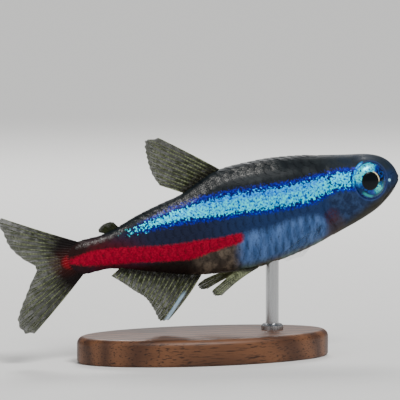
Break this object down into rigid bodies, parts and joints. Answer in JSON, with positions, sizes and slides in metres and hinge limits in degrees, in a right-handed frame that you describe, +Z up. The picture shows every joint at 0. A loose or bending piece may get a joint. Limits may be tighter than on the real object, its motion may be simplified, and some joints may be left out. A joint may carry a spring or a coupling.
{
  "type": "neon tetra fish, still life-size model on a display stand",
  "caption": "Life-size still neon tetra, swimming nose up with its fins spread, with a glowing blue side stripe and a red rear band, held by a slim rod over an oval wooden base",
  "frame": {"origin": "the middle of the flat underside of the stand's base, which rests on Z = 0", "axes": "+X runs from the tail to the head, level; +Y is the fish's left; +Z is up"},
  "size_m": [0.0356, 0.011, 0.0185],
  "materials": {
    "dark_skin": "wet, dark grey-blue scaly skin of the head and back",
    "silver_skin": "olive-silver skin of the chin and throat",
    "flank_skin": "scaly flank with an iridescent cyan stripe over a slate-blue side and silvery-blue belly",
    "red_skin": "scaly skin with the red band towards the tail",
    "gill_cover_skin": "smooth slate-blue gill cover",
    "eye": "glossy eye with a dark pupil and an iridescent cyan iris",
    "fin_membrane": "thin, nearly clear fin membrane with fine branched rays",
    "stand_wood": "oiled dark walnut",
    "stand_metal": "brushed steel"
  },
  "bodies": {
    "root": {"head": "dark_skin", "lower_jaw": "silver_skin", "torso": "flank_skin", "tail_stem": "red_skin", "gill_cover_right": "gill_cover_skin", "gill_cover_left": "gill_cover_skin", "eye_right": "eye", "eye_left": "eye", "fin_dorsal": "fin_membrane", "fin_adipose": "fin_membrane", "fin_anal": "fin_membrane", "fin_caudal_upper": "fin_membrane", "fin_caudal_lower": "fin_membrane", "fin_pelvic_right": "fin_membrane", "fin_pelvic_left": "fin_membrane", "fin_pectoral_right": "fin_membrane", "fin_pectoral_left": "fin_membrane", "stand_base": "stand_wood", "stand_rod": "stand_metal"}
  },
  "joints": []
}
